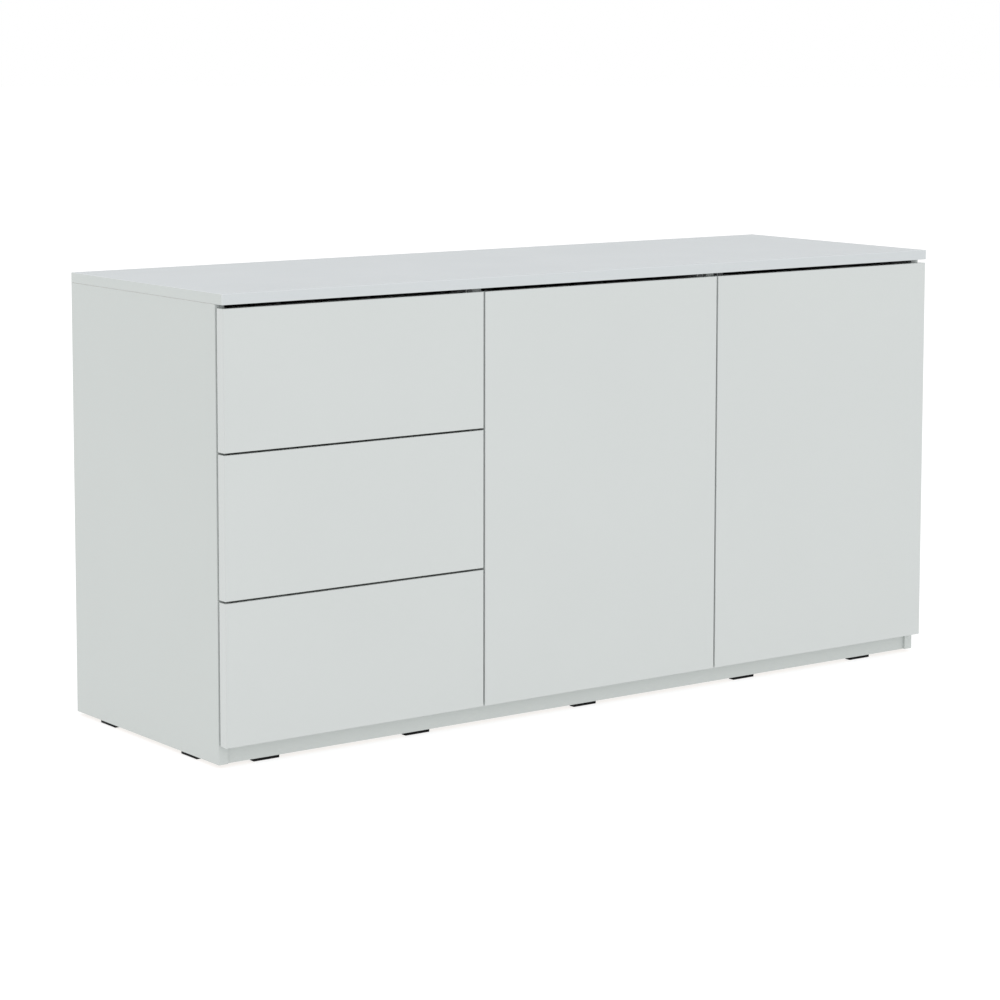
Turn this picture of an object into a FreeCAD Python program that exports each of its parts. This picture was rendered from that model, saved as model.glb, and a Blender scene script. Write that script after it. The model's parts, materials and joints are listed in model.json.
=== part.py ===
import FreeCAD, Part

import os

# Sideboard with three drawers and two doors, built from board as separate pieces.
# Millimetres. X runs to the right, Y into the cabinet, Z up.
# The origin is on the floor, midway between the sides and midway between front and rear.

V = FreeCAD.Vector

# ---- overall size
WIDTH = 1400.0
DEPTH = 450.0
HEIGHT = 700.0

# ---- boards
BOARD = 16.0
FRONT_BOARD = 18.0
BACK_BOARD = 3.0
DRAWER_BOARD = 12.0
DRAWER_BOTTOM = 4.0
EDGE_BAND = 1.0
BAND_ROUND = 0.8
FRONT_ROUND = 0.9
BOARD_ROUND = 0.4

# ---- fronts and the gaps around them
FRONT_GAP = 3.0
FRONT_INSET = 1.5
BUFFER_GAP = 2.0
FINGER_GAP = 5.5
FRONT_RISE = 28.5
LOWER_FRONT = 214.5

# ---- base
GLIDE_HEIGHT = 5.0
GLIDE_LENGTH = 45.0
GLIDE_WIDTH = 12.0
GLIDE_ROUND = 1.0
PLINTH_HEIGHT = 30.0
PLINTH_SETBACK = 4.0
REAR_PLINTH_SETBACK = 20.0
SIDE_GLIDE_FRONT = 110.0
SIDE_GLIDE_REAR = 94.0
PLINTH_GLIDE_LEFT_END = 86.0
PLINTH_GLIDE_LEFT_BAY = 108.0
PLINTH_GLIDE_MIDDLE = -15.0
PLINTH_GLIDE_RIGHT_BAY = 87.0
PLINTH_GLIDE_RIGHT_END = 117.0

# ---- back
REBATE = 9.0
BACK_PLAY = 0.5
NAIL_SPACING = 150.0
NAIL_INSET = 4.0
NAIL_HEAD = 2.4
NAIL_HEAD_THICKNESS = 0.6
NAIL_SHANK = 0.8
NAIL_LENGTH = 14.0
NAIL_HEAD_ROOM = 0.6

# ---- cam joints and dowels
CAM_RADIUS = 7.5
CAM_DEPTH = 12.5
CAM_DISTANCE = 24.0
CAM_BORE = 4.0
BOLT_SHAFT = 3.0
BOLT_HEAD = 3.4
BOLT_THREAD = 2.5
BOLT_IN_FACE = 10.0
CAM_EDGE = 70.0
CAM_CROSS_LENGTH = 7.0
CAM_CROSS_WIDTH = 1.2
CAM_CROSS_DEPTH = 1.2
DOWEL_RADIUS = 4.0
DOWEL_IN_FACE = 10.0
DOWEL_IN_EDGE = 20.0
DOWEL_STEP = 32.0

# ---- shelves
SHELF_PLAY = 1.0
SHELF_SETBACK = 20.0
SHELF_RISE = 320.0
PIN_RADIUS = 2.5
PIN_IN_BOARD = 7.0
PIN_REACH = 9.0
PIN_STEP = 32.0
PIN_CHOICES = 2
PIN_EDGE = 60.0

# ---- drawers
BOX_REAR_ROOM = 29.0
BOX_HEIGHT = 150.0
BOX_RISE = 28.0
BOX_GROOVE = 6.0
BOX_BOTTOM_RISE = 12.0

# ---- telescopic slides
SLIDE_WIDTH = 12.7
SLIDE_HEIGHT = 45.0
SLIDE_REAR_ROOM = 24.0
SLIDE_OUTER_REACH = 8.5
SLIDE_MIDDLE_START = 3.0
SLIDE_MIDDLE_ROOM = 2.1
SLIDE_INNER_REACH = 7.3
SLIDE_SHEET = 1.2
SLIDE_ROUND = 1.4
BALL_ROOM = 2.6
BALL_RADIUS = 1.7
OUTER_TRACK = 5.4
INNER_TRACK = 8.6
SLIDE_SCREW_ACCESS = 4.5
SLIDE_START = 3.0
SLIDE_RISE = 62.0
SLIDE_SCREW_HEAD = 3.4
SLIDE_SCREW_HEAD_THICKNESS = 1.2
SLIDE_SCREW_SHANK = 1.6
SLIDE_SCREW_LENGTH = 13.0
SLIDE_SCREW_INSET = 40.0

# ---- push latches
LATCH_WIDTH = 13.0
LATCH_HEIGHT = 14.0
LATCH_LENGTH = 72.0
LATCH_ROUND = 1.0
LATCH_BORE_ROOM = 4.0
PLUNGER_RADIUS = 4.0
PLUNGER_PLAY = 0.05
PLUNGER_LENGTH = 60.0
PLUNGER_TIP = 5.0
PLUNGER_TIP_THICKNESS = 1.2
PLUNGER_TIP_GAP = 0.3
DOOR_LATCH_OFFSET = 21.0
DRAWER_LATCH_OVER_BOX = 14.0

# ---- cup hinges, in a plane seen from above: the first number of a point runs from the
# ---- door's hinge edge towards its free edge, the second from its back face inwards
# ---- HINGE_COVER is how much of the side panel's edge the door covers in that plane, and the
# ---- whole hinge moves in by what a thicker board adds to it
HINGE_COVER = 14.5
ARM_PIVOT = (36.0, 5.5)
LINK_BEND = (21.0, -10.1)
LINK_END = (7.3, -8.15)
HINGE_EDGE = 95.0
CUP_RADIUS = 17.5
CUP_DEPTH = 13.0
CUP_EDGE = 2.5
CUP_WALL = 1.0
CUP_FLOOR = 1.0
CUP_FLANGE = 1.0
CUP_FLANGE_HALF = 27.0
CUP_FLANGE_WIDTH = 17.0
CUP_FLANGE_ROUND = 3.0
CUP_SLOT_HALF = 6.5
CUP_SCREW_STEP = 45.0
CUP_SCREW_HEAD = 3.4
CUP_SCREW_HEAD_THICKNESS = 1.4
CUP_SCREW_SHANK = 1.8
CUP_SCREW_LENGTH = 13.0
LINK_SHEET = 1.8
LINK_EYE = 2.4
LINK_END_EYE = 1.9
LINK_REACH = 5.0
LINK_PIN = 1.2
LINK_PIN_REACH = 5.6
ARM_PIN = 1.25
ARM_PIN_PLAY = 0.05
ARM_CHEEK_START = 5.4
ARM_CHEEK_END = 7.0
ARM_EYE_ROOM = 4.0
ARM_TIP = 3.2
ARM_START = 24.0
ARM_LENGTH = 70.0
ARM_HEIGHT = 12.0
ARM_SHEET = 1.6
ARM_SCREWS = (14.0, 30.0)
ARM_SCREW_HEAD = 3.2
ARM_SCREW_HEAD_THICKNESS = 1.2
ARM_SCREW_SHANK = 2.2
PLATE_THICKNESS = 2.5
PLATE_ROW = 37.0
PLATE_LENGTH = 46.0
PLATE_HALF = 8.0
WING_HALF = 25.0
WING_LENGTH = 12.0
WING_ROUND = 5.0
PLATE_SCREW_STEP = 36.0
PLATE_SCREW_HEAD = 3.6
PLATE_SCREW_HEAD_THICKNESS = 1.6
PLATE_SCREW_SHANK = 2.2
PLATE_SCREW_LENGTH = 12.0

# ---- how closely an edge has to lie or run for a rounding to take it
NEAR = 0.01
STRAIGHT = 0.9

# ---- places worked out from the sizes above
right = WIDTH / 2
front = -DEPTH / 2
rear = DEPTH / 2
inner = right - BOARD
edge = front + FRONT_BOARD + BUFFER_GAP
back_face = rear - BACK_BOARD
under_top = HEIGHT - BOARD
base = GLIDE_HEIGHT
floor_under = base + PLINTH_HEIGHT
floor_top = floor_under + BOARD
front_width = (WIDTH - 2 * FRONT_INSET - 2 * FRONT_GAP) / 3
line = (front_width + FRONT_GAP) / 2
fronts_bottom = base + FRONT_RISE
fronts_top = under_top - FINGER_GAP
plinth_face = edge + PLINTH_SETBACK
bay_left = (-inner, -line - BOARD / 2)
bay_middle = (-line + BOARD / 2, line - BOARD / 2)
bay_right = (line + BOARD / 2, inner)
slide_span = (edge + SLIDE_START, back_face - SLIDE_REAR_ROOM)
front_back = front + FRONT_BOARD
hinge_shift = BOARD - FRONT_INSET - HINGE_COVER

os.makedirs("parts", exist_ok=True)


def block(x, y, z):
    """A box between the pairs x, y and z."""
    corner = V(x[0], y[0], z[0])
    return Part.makeBox(x[1] - x[0], y[1] - y[0], z[1] - z[0], corner)


def rod(radius, length, start, along):
    return Part.makeCylinder(radius, length, start, along)


def joined(shapes):
    """Several touching shapes as one solid."""
    whole = shapes[0].fuse(list(shapes[1:]))
    return whole.removeSplitter()


def group(shapes):
    """Several separate solids that share a node."""
    return Part.makeCompound(list(shapes))


def rounded(shape, radius, wanted):
    """Round the edges for which wanted(edge's centre, edge's direction) is true."""
    chosen = []
    for line_edge in shape.Edges:
        ends = [vertex.Point for vertex in line_edge.Vertexes]
        if len(ends) < 2:
            continue
        run = ends[1].sub(ends[0])
        if wanted(line_edge.CenterOfMass, run.normalize()):
            chosen.append(line_edge)
    return shape.makeFillet(radius, chosen)


def all_edges(centre, run):
    return True


def save(shape, node):
    shape.exportStep("parts/" + node + ".step")


# ---------------------------------------------------------------- carcass boards

def side_panel(sign):
    x = sorted((sign * right, sign * inner))
    panel = block(x, (edge, rear), (base, under_top))
    rebate_x = sorted((sign * inner, sign * (inner + REBATE)))
    panel = panel.cut(block(rebate_x, (back_face, rear), (base, under_top)))
    return rounded(panel, BOARD_ROUND, lambda c, run: abs(c.y - edge) < NEAR and abs(run.z) > STRAIGHT)


def partition(sign):
    x = (sign * line - BOARD / 2, sign * line + BOARD / 2)
    panel = block(x, (edge, back_face), (floor_top, under_top))
    return rounded(panel, BOARD_ROUND, lambda c, run: abs(c.y - edge) < NEAR and abs(run.z) > STRAIGHT)


def top_panel():
    panel = block((-right + EDGE_BAND, right - EDGE_BAND), (front + EDGE_BAND, rear),
                  (under_top, HEIGHT))
    rebate = block((-inner - REBATE, inner + REBATE), (back_face, rear),
                   (under_top, under_top + REBATE))
    return panel.cut(rebate)


def top_bands():
    """Thin bands on the top's front and end edges, with eased outer arrises."""
    z = (under_top, HEIGHT)
    front_band = block((-right, right), (front, front + EDGE_BAND), z)
    front_band = rounded(front_band, BAND_ROUND,
                         lambda c, run: abs(c.y - front) < NEAR and c.z > under_top)
    bands = [front_band]
    for sign in (-1, 1):
        x = sorted((sign * right, sign * (right - EDGE_BAND)))
        band = block(x, (front + EDGE_BAND, rear), z)
        outer = sign * right
        bands.append(rounded(band, BAND_ROUND,
                             lambda c, run: abs(c.x - outer) < NEAR and abs(run.y) > STRAIGHT))
    return group(bands)


def floor_panel():
    return block((-inner, inner), (edge, back_face), (floor_under, floor_top))


def plinths():
    z = (base, floor_under)
    front_plinth = block((-inner, inner), (plinth_face, plinth_face + BOARD), z)
    rear_face = rear - REAR_PLINTH_SETBACK
    rear_plinth = block((-inner, inner), (rear_face - BOARD, rear_face), z)
    return front_plinth, rear_plinth


def back_panels():
    """Three thin backs in the rebate, meeting behind the partitions."""
    z = (floor_under + BACK_PLAY, under_top + REBATE - BACK_PLAY)
    outer = inner + REBATE - BACK_PLAY
    limits = {"left": (-outer, -line - BACK_PLAY / 2),
              "middle": (-line + BACK_PLAY / 2, line - BACK_PLAY / 2),
              "right": (line + BACK_PLAY / 2, outer)}
    return {name: block(x, (back_face, rear), z) for name, x in limits.items()}


def nail(at, along):
    head = rod(NAIL_HEAD, NAIL_HEAD_THICKNESS, at, along)
    shank = rod(NAIL_SHANK, NAIL_LENGTH, at, along)
    return joined([head, shank])


def back_nails(panels):
    """Flat-headed nails along the vertical edges and the bottom edge of each back."""
    nails = []
    for panel in panels.values():
        box = panel.BoundBox
        rows = int((box.ZMax - box.ZMin - NAIL_SPACING / 2) / NAIL_SPACING) + 1
        for x in (box.XMin + NAIL_INSET, box.XMax - NAIL_INSET):
            for row in range(rows):
                z = box.ZMin + NAIL_SPACING / 2 + row * NAIL_SPACING
                nails.append(nail(V(x, rear, z), V(0, -1, 0)))
        columns = int((box.XMax - box.XMin) / NAIL_SPACING)
        for column in range(1, columns):
            x = box.XMin + column * (box.XMax - box.XMin) / columns
            nails.append(nail(V(x, rear, floor_under + BOARD / 2), V(0, -1, 0)))
    return nails


# ---------------------------------------------------------------- board joints

def cam_joint(at, into, cam_side):
    """Bolt, cam and the bores for one joint.

    at is on the joint plane, into points from the face board into the edge board, and
    cam_side points from the edge board's middle to the face that the cam sits in.
    """
    thread = rod(BOLT_THREAD, BOLT_IN_FACE, at - into * BOLT_IN_FACE, into)
    shaft = rod(BOLT_SHAFT, CAM_DISTANCE - BOLT_HEAD, at, into)
    head = rod(BOLT_HEAD, BOLT_HEAD, at + into * (CAM_DISTANCE - BOLT_HEAD), into)
    bolt = joined([thread, shaft, head])
    face = at + into * CAM_DISTANCE + cam_side * (BOARD / 2)
    seat = rod(CAM_RADIUS, CAM_DEPTH, face, -cam_side)
    bore = rod(CAM_BORE, CAM_DISTANCE + CAM_BORE, at, into)
    slot = cross_slot(face, -cam_side)
    cam = seat.cut(bore).cut(slot)
    return bolt, cam, seat.fuse(bore)


def cross_slot(face, inward):
    """The screwdriver cross in a cam's face."""
    first = V(0, 1, 0)
    second = inward.cross(first)
    bars = []
    for long_way, short_way in ((first, second), (second, first)):
        length = long_way * CAM_CROSS_LENGTH
        width = short_way * CAM_CROSS_WIDTH
        corner = face - (length + width) * 0.5
        wire = Part.makePolygon([corner, corner + length, corner + length + width, corner + width, corner])
        bars.append(Part.Face(wire).extrude(inward * CAM_CROSS_DEPTH))
    return bars[0].fuse(bars[1])


def dowel(at, into):
    return rod(DOWEL_RADIUS, DOWEL_IN_FACE + DOWEL_IN_EDGE, at - into * DOWEL_IN_FACE, into)


def fasten(boards):
    """Cut the bores for all cams, bolts and dowels, and return those pieces."""
    bolts = []
    cams = []
    dowels = []
    rows = (edge + CAM_EDGE, back_face - CAM_EDGE)

    def fix(face_board, edge_board, at, into, cam_side):
        for y, step in ((rows[0], 1), (rows[1], -1)):
            place = V(at.x, y, at.z)
            bolt, cam, bore = cam_joint(place, into, cam_side)
            peg = dowel(place + V(0, step * DOWEL_STEP, 0), into)
            boards[face_board] = boards[face_board].cut(group([bolt, peg]))
            boards[edge_board] = boards[edge_board].cut(bore).cut(peg)
            bolts.append(bolt)
            cams.append(cam)
            dowels.append(peg)

    up = V(0, 0, 1)
    across = V(1, 0, 0)
    uprights = (("side_left", -inner - BOARD / 2, across), ("partition_left", -line, -across),
                ("partition_right", line, across), ("side_right", inner + BOARD / 2, -across))
    for name, x, cam_side in uprights:
        fix("top_panel", name, V(x, 0, under_top), -up, cam_side)
        if name.startswith("partition"):
            fix("bottom_panel", name, V(x, 0, floor_top), up, cam_side)
    middle = floor_under + BOARD / 2
    fix("side_left", "bottom_panel", V(-inner, 0, middle), across, -up)
    fix("side_right", "bottom_panel", V(inner, 0, middle), -across, -up)
    return bolts, cams, dowels


# ---------------------------------------------------------------- shelves

def shelf_fittings(boards):
    """Two shelves on pins, and the rows of pin holes in the uprights."""
    shelves = {}
    pins = []
    depth = (edge + SHELF_SETBACK, back_face - SHELF_PLAY)
    height = floor_top + SHELF_RISE
    columns = (depth[0] + PIN_EDGE, depth[1] - PIN_EDGE)
    bays = (("shelf_middle", bay_middle, "partition_left", "partition_right"),
            ("shelf_right", bay_right, "partition_right", "side_right"))
    for name, bay, left_board, right_board in bays:
        x = (bay[0] + SHELF_PLAY, bay[1] - SHELF_PLAY)
        shelf = block(x, depth, (height, height + BOARD))
        shelves[name] = rounded(shelf, BOARD_ROUND,
                                lambda c, run: abs(c.y - depth[0]) < NEAR and abs(run.x) > STRAIGHT)
        for board, face, way in ((left_board, bay[0], 1), (right_board, bay[1], -1)):
            holes = []
            for y in columns:
                for step in range(-PIN_CHOICES, PIN_CHOICES + 1):
                    z = height - PIN_RADIUS + step * PIN_STEP
                    holes.append(rod(PIN_RADIUS, PIN_IN_BOARD, V(face, y, z), V(-way, 0, 0)))
                start = V(face - way * PIN_IN_BOARD, y, height - PIN_RADIUS)
                pins.append(rod(PIN_RADIUS, PIN_IN_BOARD + PIN_REACH, start, V(way, 0, 0)))
            boards[board] = boards[board].cut(group(holes))
    return shelves, pins


# ---------------------------------------------------------------- floor glides

def glide(centre, along_x):
    half = (GLIDE_LENGTH / 2, GLIDE_WIDTH / 2) if along_x else (GLIDE_WIDTH / 2, GLIDE_LENGTH / 2)
    x = (centre.x - half[0], centre.x + half[0])
    y = (centre.y - half[1], centre.y + half[1])
    pad = block(x, y, (0, GLIDE_HEIGHT))
    pad = rounded(pad, GLIDE_ROUND, lambda c, run: c.z < GLIDE_HEIGHT - NEAR)
    well = rod(NAIL_HEAD + NAIL_HEAD_ROOM, GLIDE_HEIGHT / 2, V(centre.x, centre.y, 0), V(0, 0, 1))
    pin = nail(V(centre.x, centre.y, GLIDE_HEIGHT / 2), V(0, 0, 1))
    return pad.cut(well).cut(pin), pin


def glide_places():
    """Under both ends of each side panel and along both plinths."""
    side_x = right - BOARD / 2
    places = []
    for x in (-side_x, side_x):
        places.append((V(x, front + SIDE_GLIDE_FRONT, 0), False))
        places.append((V(x, rear - SIDE_GLIDE_REAR, 0), False))
    along = (-right + PLINTH_GLIDE_LEFT_END, -line - PLINTH_GLIDE_LEFT_BAY, PLINTH_GLIDE_MIDDLE,
             line + PLINTH_GLIDE_RIGHT_BAY, right - PLINTH_GLIDE_RIGHT_END)
    for y in (plinth_face + BOARD / 2, rear - REAR_PLINTH_SETBACK - BOARD / 2):
        for x in along:
            places.append((V(x, y, 0), True))
    return places


# ---------------------------------------------------------------- drawers

def channel(back_x, open_x, half_height, height_z):
    """A C channel along Y whose web is at back_x and which opens towards open_x."""
    way = 1 if open_x > back_x else -1
    body = block(sorted((back_x, open_x)), slide_span, (height_z - half_height, height_z + half_height))
    body = rounded(body, SLIDE_ROUND, lambda c, run: abs(c.x - back_x) < NEAR and abs(run.y) > STRAIGHT)
    hollow = block(sorted((back_x + way * SLIDE_SHEET, open_x + way)), slide_span,
                   (height_z - half_height + SLIDE_SHEET, height_z + half_height - SLIDE_SHEET))
    return body.cut(hollow)


def ball_tracks(x, height_z, half_height):
    """The grooves that the balls run in, above and below the slide's middle."""
    length = slide_span[1] - slide_span[0]
    starts = [V(x, slide_span[0], height_z + sign * half_height) for sign in (-1, 1)]
    return group([rod(BALL_RADIUS, length, start, V(0, 1, 0)) for start in starts])


def slide_screw_rows():
    """Where along the slide its screws sit."""
    middle = (slide_span[0] + slide_span[1]) / 2
    return (slide_span[0] + SLIDE_SCREW_INSET, middle, slide_span[1] - SLIDE_SCREW_INSET)


def web_holes(wall, way, height_z, radius):
    """Holes across the slide at each screw."""
    return group([rod(radius, SLIDE_WIDTH, V(wall, y, height_z), V(way, 0, 0))
                  for y in slide_screw_rows()])


def slide(wall, way, height_z):
    """Cabinet, intermediate and drawer members of one slide on the wall at x = wall."""
    outer_half = SLIDE_HEIGHT / 2
    middle_half = outer_half - SLIDE_SHEET - BALL_ROOM
    inner_half = middle_half - SLIDE_SHEET - BALL_ROOM
    drawer_face = wall + way * SLIDE_WIDTH
    outer_tracks = ball_tracks(wall + way * OUTER_TRACK, height_z, middle_half + BALL_ROOM / 2)
    inner_tracks = ball_tracks(wall + way * INNER_TRACK, height_z, inner_half + BALL_ROOM / 2)
    outer_member = channel(wall, wall + way * SLIDE_OUTER_REACH, outer_half, height_z)
    middle_member = channel(wall + way * SLIDE_MIDDLE_START, drawer_face - way * SLIDE_MIDDLE_ROOM,
                            middle_half, height_z)
    inner_member = channel(drawer_face, drawer_face - way * SLIDE_INNER_REACH, inner_half, height_z)
    access = web_holes(wall, way, height_z, SLIDE_SCREW_ACCESS)
    fixing = web_holes(wall, way, height_z, SLIDE_SCREW_SHANK)
    return (outer_member.cut(outer_tracks), middle_member.cut(outer_tracks).cut(inner_tracks).cut(access),
            inner_member.cut(inner_tracks).cut(fixing))


def slide_screws(wall, way, height_z):
    screws = []
    for y in slide_screw_rows():
        sheet = wall + way * SLIDE_SHEET
        head = rod(SLIDE_SCREW_HEAD, SLIDE_SCREW_HEAD_THICKNESS, V(sheet, y, height_z), V(way, 0, 0))
        shank = rod(SLIDE_SCREW_SHANK, SLIDE_SCREW_LENGTH, V(sheet, y, height_z), V(-way, 0, 0))
        screws.append(joined([head, shank]))
    return screws


def drawer_box(z):
    """Sides, rear and bottom of a drawer whose front starts at height z."""
    low = z + BOX_RISE
    x = (bay_left[0] + SLIDE_WIDTH, bay_left[1] - SLIDE_WIDTH)
    y = (front_back, back_face - BOX_REAR_ROOM)
    bottom_z = (low + BOX_BOTTOM_RISE, low + BOX_BOTTOM_RISE + DRAWER_BOTTOM)
    inside = (x[0] + DRAWER_BOARD, x[1] - DRAWER_BOARD)
    bottom = block((inside[0] - BOX_GROOVE, inside[1] + BOX_GROOVE), y, bottom_z)
    left = block((x[0], inside[0]), y, (low, low + BOX_HEIGHT)).cut(bottom)
    right_side = block((inside[1], x[1]), y, (low, low + BOX_HEIGHT)).cut(bottom)
    box_rear = block(inside, (y[1] - DRAWER_BOARD, y[1]), (bottom_z[1], low + BOX_HEIGHT))
    return {"side_left": left, "side_right": right_side, "rear": box_rear, "bottom": bottom}


def front_board(x, z):
    board = block(x, (front, front_back), z)
    return rounded(board, FRONT_ROUND, all_edges)


# ---------------------------------------------------------------- push latches

def latch(x, z):
    """Housing and plunger of a push latch, centred at x and z, working along Y."""
    tip_face = front_back + PLUNGER_TIP_GAP
    housing_face = tip_face + PLUNGER_TIP_THICKNESS + PLUNGER_TIP_GAP
    housing = block((x - LATCH_WIDTH / 2, x + LATCH_WIDTH / 2),
                    (housing_face, housing_face + LATCH_LENGTH),
                    (z - LATCH_HEIGHT / 2, z + LATCH_HEIGHT / 2))
    housing = rounded(housing, LATCH_ROUND, lambda c, run: abs(run.y) > STRAIGHT and c.z < z)
    bore = rod(PLUNGER_RADIUS + PLUNGER_PLAY, PLUNGER_LENGTH + LATCH_BORE_ROOM,
               V(x, housing_face, z), V(0, 1, 0))
    tip = rod(PLUNGER_TIP, PLUNGER_TIP_THICKNESS, V(x, tip_face, z), V(0, 1, 0))
    stem = rod(PLUNGER_RADIUS, PLUNGER_LENGTH, V(x, tip_face, z), V(0, 1, 0))
    return housing.cut(bore), joined([tip, stem])


# ---------------------------------------------------------------- cup hinges

def bar(start, end, half, reach):
    """A flat bar with round ends from start to end, from -reach to reach in height."""
    a = V(start[0], start[1], -reach)
    b = V(end[0], end[1], -reach)
    side = (b - a).normalize().cross(V(0, 0, 1)) * half
    wire = Part.makePolygon([a + side, b + side, b - side, a - side, a + side])
    middle = Part.Face(wire).extrude(V(0, 0, 2 * reach))
    ends = [pin_at(point, half, reach) for point in (start, end)]
    return joined([middle] + ends)


def pin_at(point, radius, reach):
    return rod(radius, 2 * reach, V(point[0], point[1], -reach), V(0, 0, 1))


def hinge_link():
    """Bent sheet link with an eye on the arm's pin and a pin at the cup's end."""
    pieces = [bar(ARM_PIVOT, LINK_BEND, LINK_SHEET / 2, LINK_REACH),
              bar(LINK_BEND, LINK_END, LINK_SHEET / 2, LINK_REACH),
              pin_at(ARM_PIVOT, LINK_EYE, LINK_REACH),
              pin_at(LINK_END, LINK_END_EYE, LINK_REACH),
              pin_at(LINK_END, LINK_PIN, LINK_PIN_REACH)]
    return joined(pieces).cut(pin_at(ARM_PIVOT, ARM_PIN + ARM_PIN_PLAY, LINK_REACH + 1))


def hinge_cup():
    """Drilled-in cup with its flange, open at the door's back."""
    middle = CUP_EDGE + CUP_RADIUS
    inwards = V(0, 1, 0)
    shell = rod(CUP_RADIUS, CUP_DEPTH, V(middle, -CUP_DEPTH, 0), inwards)
    flange_x = (middle - CUP_FLANGE_WIDTH / 2, middle + CUP_FLANGE_WIDTH / 2)
    flange = block(flange_x, (0, CUP_FLANGE), (-CUP_FLANGE_HALF, CUP_FLANGE_HALF))
    flange = rounded(flange, CUP_FLANGE_ROUND, lambda c, run: abs(run.y) > STRAIGHT)
    rim = rod(CUP_RADIUS, CUP_FLANGE, V(middle, 0, 0), inwards)
    slot_x = (middle - CUP_RADIUS + CUP_WALL, middle + CUP_RADIUS - CUP_WALL)
    floor_y = CUP_FLOOR - CUP_DEPTH
    slot = block(slot_x, (floor_y, CUP_FLANGE), (-CUP_SLOT_HALF, CUP_SLOT_HALF))
    round_slot = rod(CUP_RADIUS - CUP_WALL, CUP_FLANGE - floor_y, V(middle, floor_y, 0), inwards)
    whole = joined([shell, flange, rim]).cut(slot.common(round_slot))
    return whole.cut(group(cup_screws()))


def cup_screws():
    """The two screws through a cup's flange into the door."""
    middle = CUP_EDGE + CUP_RADIUS
    screws = []
    for w in (-CUP_SCREW_STEP / 2, CUP_SCREW_STEP / 2):
        seat = V(middle, CUP_FLANGE, w)
        head = rod(CUP_SCREW_HEAD, CUP_SCREW_HEAD_THICKNESS, seat, V(0, 1, 0))
        shank = rod(CUP_SCREW_SHANK, CUP_SCREW_LENGTH, seat, V(0, -1, 0))
        screws.append(joined([head, shank]))
    return screws


def plate_screws(face):
    row = BUFFER_GAP + PLATE_ROW
    seat = face + PLATE_THICKNESS
    screws = []
    for w in (-PLATE_SCREW_STEP / 2, PLATE_SCREW_STEP / 2):
        head = rod(PLATE_SCREW_HEAD, PLATE_SCREW_HEAD_THICKNESS, V(seat, row, w), V(1, 0, 0))
        shank = rod(PLATE_SCREW_SHANK, PLATE_SCREW_LENGTH, V(seat, row, w), V(-1, 0, 0))
        screws.append(joined([head, shank]))
    return screws


def hinge_plate(face):
    """Winged plate on the upright's face at distance face from the door's edge."""
    row = BUFFER_GAP + PLATE_ROW
    thickness = (face, face + PLATE_THICKNESS)
    body = block(thickness, (row - PLATE_LENGTH / 2, row + PLATE_LENGTH / 2), (-PLATE_HALF, PLATE_HALF))
    wings = block(thickness, (row - WING_LENGTH / 2, row + WING_LENGTH / 2), (-WING_HALF, WING_HALF))
    wings = rounded(wings, WING_ROUND, lambda c, run: abs(run.x) > STRAIGHT)
    return joined([body, wings]).cut(group(plate_screws(face) + arm_screws(face)))


def arm_screws(face):
    """The fixing and adjusting screws from the arm's top into the plate."""
    top_face = face + PLATE_THICKNESS + ARM_HEIGHT
    screws = []
    for distance in ARM_SCREWS:
        seat = V(top_face, BUFFER_GAP + ARM_START + distance, 0)
        head = rod(ARM_SCREW_HEAD, ARM_SCREW_HEAD_THICKNESS, seat, V(1, 0, 0))
        shank = rod(ARM_SCREW_SHANK, ARM_HEIGHT + PLATE_THICKNESS, seat, V(-1, 0, 0))
        screws.append(joined([head, shank]))
    return screws


def hinge_arm(face):
    """Arm on the plate whose two cheeks carry the arm's pin."""
    low = face + PLATE_THICKNESS
    high = low + ARM_HEIGHT
    y = (BUFFER_GAP + ARM_START, BUFFER_GAP + ARM_START + ARM_LENGTH)
    shell = block((low, high), y, (-ARM_CHEEK_END, ARM_CHEEK_END))
    hollow = block((low, high - ARM_SHEET), (y[0], y[1] - ARM_SHEET), (-ARM_CHEEK_START, ARM_CHEEK_START))
    root = (high - ARM_TIP, y[0] + ARM_TIP)
    tip = bar(root, ARM_PIVOT, ARM_TIP, ARM_CHEEK_END)
    gap_y = (ARM_PIVOT[1] - 2 * ARM_TIP, y[0] + 2 * ARM_TIP)
    gap = block((low, ARM_PIVOT[0] + ARM_EYE_ROOM), gap_y, (-ARM_CHEEK_START, ARM_CHEEK_START))
    cheeks = tip.cut(gap)
    pin = pin_at(ARM_PIVOT, ARM_PIN, ARM_CHEEK_END)
    whole = joined([shell.cut(hollow)] + cheeks.Solids + [pin])
    return whole.cut(group(arm_screws(face)))


def placed(shape, hinge_start, way, height):
    """Move a hinge piece from its own plane to the door, where that plane starts at x = hinge_start."""
    copy = shape.copy()
    if way < 0:
        copy = copy.mirror(V(0, 0, 0), V(1, 0, 0))
    copy.translate(V(hinge_start, front_back, height))
    return copy


# ---------------------------------------------------------------- the whole sideboard

nodes = {}
boards = {
    "top_panel": top_panel(),
    "side_left": side_panel(-1),
    "side_right": side_panel(1),
    "partition_left": partition(-1),
    "partition_right": partition(1),
    "bottom_panel": floor_panel(),
}
boards["plinth_front"], boards["plinth_rear"] = plinths()
bolts, cams, dowels = fasten(boards)
nodes["cam_bolts"] = group(bolts)
nodes["cam_locks"] = group(cams)
nodes["dowels"] = group(dowels)
nodes["top_edge_bands"] = top_bands()

shelves, shelf_pins = shelf_fittings(boards)
nodes.update(shelves)
nodes["shelf_pins"] = group(shelf_pins)

# backs and their nails
backs = back_panels()
nails = back_nails(backs)
for name, panel in backs.items():
    nodes["back_" + name] = panel.cut(group(nails))
for name in ("side_left", "side_right", "partition_left", "partition_right", "bottom_panel"):
    boards[name] = boards[name].cut(group(nails))

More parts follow.
